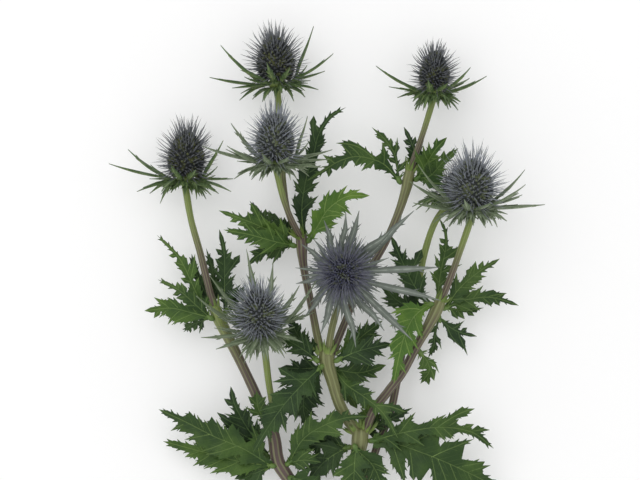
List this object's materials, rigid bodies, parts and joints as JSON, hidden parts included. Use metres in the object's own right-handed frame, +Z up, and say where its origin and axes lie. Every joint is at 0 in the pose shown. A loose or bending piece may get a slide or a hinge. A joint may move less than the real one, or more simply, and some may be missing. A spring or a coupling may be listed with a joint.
{
  "type": "sea holly stem",
  "caption": "Cut flowering stem of sea holly with spiny cone-shaped heads on bract rings, forked stalks and toothed palmate leaves, lying on its back.",
  "frame": {"origin": "middle of the plant's outline, on the surface that it lies on", "axes": "+Y along the stem towards the flower heads, +Z up from the surface, +X to the right as seen from above"},
  "size_m": [0.2612, 0.4317, 0.0774],
  "materials": {
    "floret": "matte, blue-grey florets and spines",
    "bract": "matte, grey-green leaf",
    "leaf": "satin, green leaf",
    "stalk": "satin, yellow-green stalk",
    "stem": "satin, olive-brown ribbed stem"
  },
  "bodies": {
    "root": {"centre_branch": "stem", "far_right_branch": "stem", "head_1_bracts": "bract", "head_1_cone": "floret", "head_2_bracts": "bract", "head_2_cone": "floret", "head_3_bracts": "bract", "head_3_cone": "floret", "head_4_bracts": "bract", "head_4_cone": "floret", "head_5_bracts": "bract", "head_5_cone": "floret", "head_6_bracts": "bract", "head_6_cone": "floret", "head_7_bracts": "bract", "head_7_cone": "floret", "head_8_bracts": "bract", "head_8_cone": "floret", "leaf_1_back": "leaf", "leaf_1_left": "leaf", "leaf_1_right": "leaf", "leaf_2_back": "leaf", "leaf_2_left": "leaf", "leaf_2_right": "leaf", "leaf_3_back": "leaf", "leaf_3_left": "leaf", "leaf_3_right": "leaf", "leaf_4_left": "leaf", "leaf_4_lower": "leaf", "leaf_4_right": "leaf", "leaf_4_stem": "leaf", "leaf_4_up": "leaf", "leaf_5_back": "leaf", "leaf_5_front": "leaf", "leaf_5_left": "leaf", "leaf_5_lower": "leaf", "leaf_5_right": "leaf", "leaf_6_back": "leaf", "leaf_6_left": "leaf", "leaf_6_lower": "leaf", "leaf_6_right": "leaf", "leaf_7_left": "leaf", "leaf_7_lower": "leaf", "leaf_7_right": "leaf", "leaf_7_up": "leaf", "leaf_8_left": "leaf", "leaf_8_right": "leaf", "leaf_fork": "leaf", "left_branch": "stem", "main_stem": "stem", "right_branch": "stem", "stalk_1": "stalk", "stalk_2": "stalk", "stalk_3": "stalk", "stalk_4": "stalk", "stalk_5": "stalk", "stalk_6": "stalk", "stalk_7": "stalk", "upper_branch": "stem", "upper_right_branch": "stem"}
  },
  "joints": []
}
